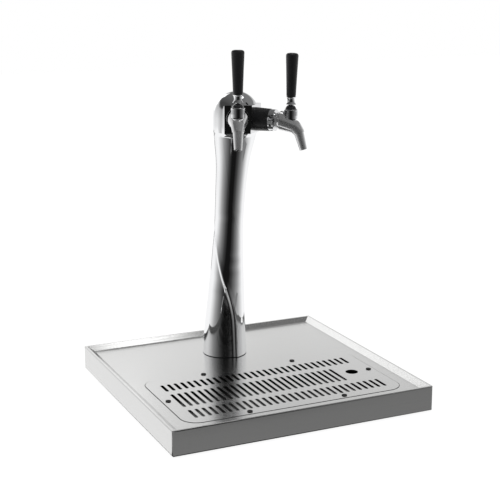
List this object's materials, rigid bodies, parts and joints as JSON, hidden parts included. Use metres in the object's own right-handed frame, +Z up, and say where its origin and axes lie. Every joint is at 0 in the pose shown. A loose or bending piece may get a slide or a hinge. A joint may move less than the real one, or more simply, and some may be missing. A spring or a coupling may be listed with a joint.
{
  "type": "draft beer tower",
  "caption": "Twisted chrome draft beer tower with a domed head and angled lever taps, standing on a square stainless drip tray with a lift-out slotted grille.",
  "frame": {"origin": "centre of the footprint, at the underside of the rubber feet", "axes": "+Z up, the front of the tray looks towards -Y, +X is to the right seen from the front"},
  "size_m": [0.45, 0.433, 0.5714],
  "materials": {
    "brushed_steel": "brushed",
    "plated_fastener": "plated",
    "chrome": "polished",
    "black_plastic": "satin",
    "rubber": "matte",
    "hose": "smooth"
  },
  "bodies": {
    "tower": {"tray_shell": "brushed_steel", "tray_feet": "rubber", "drip_basin": "brushed_steel", "drain_fitting": "plated_fastener", "drain_gasket": "rubber", "drain_nut": "plated_fastener", "drain_strainer": "brushed_steel", "column": "chrome", "column_gasket": "rubber", "base_studs": "plated_fastener", "stud_washers": "plated_fastener", "stud_nuts": "plated_fastener", "line_grommet": "rubber", "left_beer_line": "hose", "right_beer_line": "hose", "left_line_elbow": "plated_fastener", "right_line_elbow": "plated_fastener", "left_shank": "brushed_steel", "right_shank": "brushed_steel", "left_shank_nut": "plated_fastener", "right_shank_nut": "plated_fastener", "left_collar": "black_plastic", "right_collar": "black_plastic", "left_coupling_nut": "chrome", "right_coupling_nut": "chrome", "left_tap_washer": "rubber", "right_tap_washer": "rubber", "left_tap_body": "brushed_steel", "right_tap_body": "brushed_steel", "left_spout": "brushed_steel", "right_spout": "brushed_steel", "left_bonnet": "chrome", "right_bonnet": "chrome", "left_ball_seat": "rubber", "right_ball_seat": "rubber"},
    "left_tap_lever": {"left_lever": "brushed_steel", "left_lever_ball": "black_plastic", "left_ferrule": "chrome", "left_handle": "black_plastic"},
    "left_valve": {"left_piston": "brushed_steel", "left_piston_seal": "rubber"},
    "right_tap_lever": {"right_lever": "brushed_steel", "right_lever_ball": "black_plastic", "right_ferrule": "chrome", "right_handle": "black_plastic"},
    "right_valve": {"right_piston": "brushed_steel", "right_piston_seal": "rubber"},
    "grille_panel": {"grille": "brushed_steel", "grille_buffers": "rubber"},
    "cap": {"dome_cap": "chrome", "cap_ring": "rubber"}
  },
  "joints": [
    {"name": "left_lever_pull", "type": "hinge", "parent": "tower", "child": "left_tap_lever", "pos_m": [-0.03116, -0.02168, 0.47971], "axis": [0.9135, -0.4067, 0], "range_deg": [0, 25]},
    {"name": "left_valve_slide", "type": "slide", "parent": "tower", "child": "left_valve", "axis": [0.4056, 0.9111, -0.0732], "range_m": [0, 0.0079]},
    {"name": "right_lever_pull", "type": "hinge", "parent": "tower", "child": "right_tap_lever", "pos_m": [0.0701, -0.00548, 0.47106], "axis": [0.7193, 0.6947, 0], "range_deg": [0, 25]},
    {"name": "right_valve_slide", "type": "slide", "parent": "tower", "child": "right_valve", "axis": [-0.6945, 0.7192, 0.0209], "range_m": [0, 0.0079]},
    {"name": "grille_lift", "type": "slide", "parent": "tower", "child": "grille_panel", "axis": [0, 0, 1], "range_m": [0, 0.06]},
    {"name": "cap_lift", "type": "slide", "parent": "tower", "child": "cap", "axis": [0, 0, 1], "range_m": [0, 0.025]}
  ],
  "couplings": [
    {"joint": "left_valve_slide", "follows": "left_lever_pull", "m_per_rad": 0.017919},
    {"joint": "right_valve_slide", "follows": "right_lever_pull", "m_per_rad": 0.017919}
  ]
}
